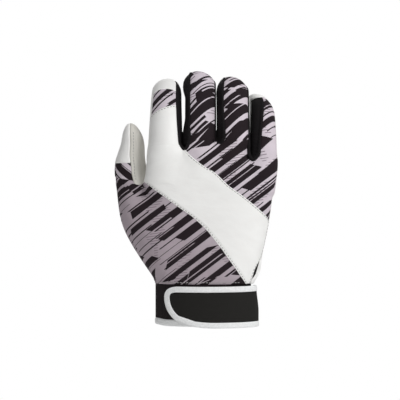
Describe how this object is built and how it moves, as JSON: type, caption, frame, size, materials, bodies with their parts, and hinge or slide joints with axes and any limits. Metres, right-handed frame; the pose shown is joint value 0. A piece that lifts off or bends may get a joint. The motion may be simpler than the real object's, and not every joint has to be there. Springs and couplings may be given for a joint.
{
  "type": "batting glove",
  "caption": "Right-hand batting glove in leather and printed mesh, shaped as worn, with bending fingers and thumb and a hook-and-loop wrist strap that peels open.",
  "frame": {"origin": "middle of the wrist opening, level with the lower edge of the closing strap", "axes": "+Z from the wrist to the fingertips, -Y out of the back of the hand, +Y out of the palm, +X to the little finger, -X to the thumb"},
  "size_m": [0.1301, 0.0658, 0.2074],
  "materials": {
    "white_leather": "smooth white leather with a fine grain",
    "printed_mesh": null,
    "stretch_knit": "black stretch knit",
    "cuff_knit": "black ribbed cuff cloth",
    "strap_webbing": "matt black laminated strap cloth",
    "binding_tape": "white folded binding tape",
    "hook_and_loop": "black hook-and-loop pile"
  },
  "bodies": {
    "hand": {"palm_panel": "white_leather", "diagonal_band": "white_leather", "knuckle_panel": "printed_mesh", "thumb_side_panel": "printed_mesh", "web_index_middle": "stretch_knit", "web_middle_ring": "stretch_knit", "web_ring_little": "stretch_knit", "slit_gusset": "stretch_knit", "cuff_band": "cuff_knit", "cuff_hem_binding": "binding_tape", "loop_patch": "hook_and_loop", "strap_root": "strap_webbing"},
    "strap": {"strap_tab": "strap_webbing", "strap_binding": "binding_tape", "hook_patch": "hook_and_loop"},
    "thumb": {"thumb_patch": "printed_mesh", "thumb_back": "white_leather", "thumb_front": "white_leather"},
    "index_lower": {"index_back_lower": "white_leather", "index_front_lower": "white_leather", "index_side_lower": "white_leather", "index_fourchette_ulnar_lower": "stretch_knit"},
    "index_upper": {"index_back_upper": "printed_mesh", "index_front_upper": "white_leather", "index_side_upper": "white_leather", "index_fourchette_ulnar_upper": "stretch_knit"},
    "middle_lower": {"middle_back_lower": "printed_mesh", "middle_front_lower": "white_leather", "middle_fourchette_radial_lower": "stretch_knit", "middle_fourchette_ulnar_lower": "stretch_knit"},
    "middle_upper": {"middle_back_upper": "printed_mesh", "middle_front_upper": "white_leather", "middle_fourchette_radial_upper": "stretch_knit", "middle_fourchette_ulnar_upper": "stretch_knit"},
    "ring_lower": {"ring_back_lower": "printed_mesh", "ring_front_lower": "white_leather", "ring_fourchette_radial_lower": "stretch_knit", "ring_fourchette_ulnar_lower": "stretch_knit"},
    "ring_upper": {"ring_back_upper": "printed_mesh", "ring_front_upper": "white_leather", "ring_fourchette_radial_upper": "stretch_knit", "ring_fourchette_ulnar_upper": "stretch_knit"},
    "little_lower": {"little_back_lower": "printed_mesh", "little_front_lower": "white_leather", "little_fourchette_radial_lower": "stretch_knit", "little_side_lower": "white_leather"},
    "little_upper": {"little_back_upper": "printed_mesh", "little_front_upper": "white_leather", "little_fourchette_radial_upper": "stretch_knit", "little_side_upper": "white_leather"}
  },
  "joints": [
    {"name": "index_base_flex", "type": "hinge", "parent": "hand", "child": "index_lower", "pos_m": [-0.0316, 0.01136, 0.14604], "axis": [-1, 0, 0], "range_deg": [0, 55], "stiffness_Nm_per_rad": 0.06},
    {"name": "index_middle_flex", "type": "hinge", "parent": "index_lower", "child": "index_upper", "pos_m": [-0.03097, 0.01784, 0.16353], "axis": [-1, 0, 0], "range_deg": [0, 60], "stiffness_Nm_per_rad": 0.04},
    {"name": "middle_base_flex", "type": "hinge", "parent": "hand", "child": "middle_lower", "pos_m": [-0.0042, 0.01154, 0.15071], "axis": [-1, 0, 0], "range_deg": [0, 55], "stiffness_Nm_per_rad": 0.06},
    {"name": "middle_middle_flex", "type": "hinge", "parent": "middle_lower", "child": "middle_upper", "pos_m": [-0.0042, 0.02018, 0.17084], "axis": [-1, 0, 0], "range_deg": [0, 60], "stiffness_Nm_per_rad": 0.04},
    {"name": "ring_base_flex", "type": "hinge", "parent": "hand", "child": "ring_lower", "pos_m": [0.0229, 0.01131, 0.15069], "axis": [-1, 0, 0], "range_deg": [0, 55], "stiffness_Nm_per_rad": 0.06},
    {"name": "ring_middle_flex", "type": "hinge", "parent": "ring_lower", "child": "ring_upper", "pos_m": [0.0229, 0.01931, 0.16904], "axis": [-1, 0, 0], "range_deg": [0, 60], "stiffness_Nm_per_rad": 0.04},
    {"name": "little_base_flex", "type": "hinge", "parent": "hand", "child": "little_lower", "pos_m": [0.0473, 0.0105, 0.13745], "axis": [-1, 0, 0], "range_deg": [0, 55], "stiffness_Nm_per_rad": 0.06},
    {"name": "little_middle_flex", "type": "hinge", "parent": "little_lower", "child": "little_upper", "pos_m": [0.0473, 0.01781, 0.15444], "axis": [-1, 0, 0], "range_deg": [0, 60], "stiffness_Nm_per_rad": 0.04},
    {"name": "thumb_flex", "type": "hinge", "parent": "hand", "child": "thumb", "pos_m": [-0.05891, 0.02414, 0.1225], "axis": [-1, 0, 0], "range_deg": [0, 40], "stiffness_Nm_per_rad": 0.06},
    {"name": "strap_peel", "type": "hinge", "parent": "hand", "child": "strap", "pos_m": [0.04325, 0.00357, 0.0165], "axis": [0, 0, 1], "range_deg": [0, 140]}
  ]
}
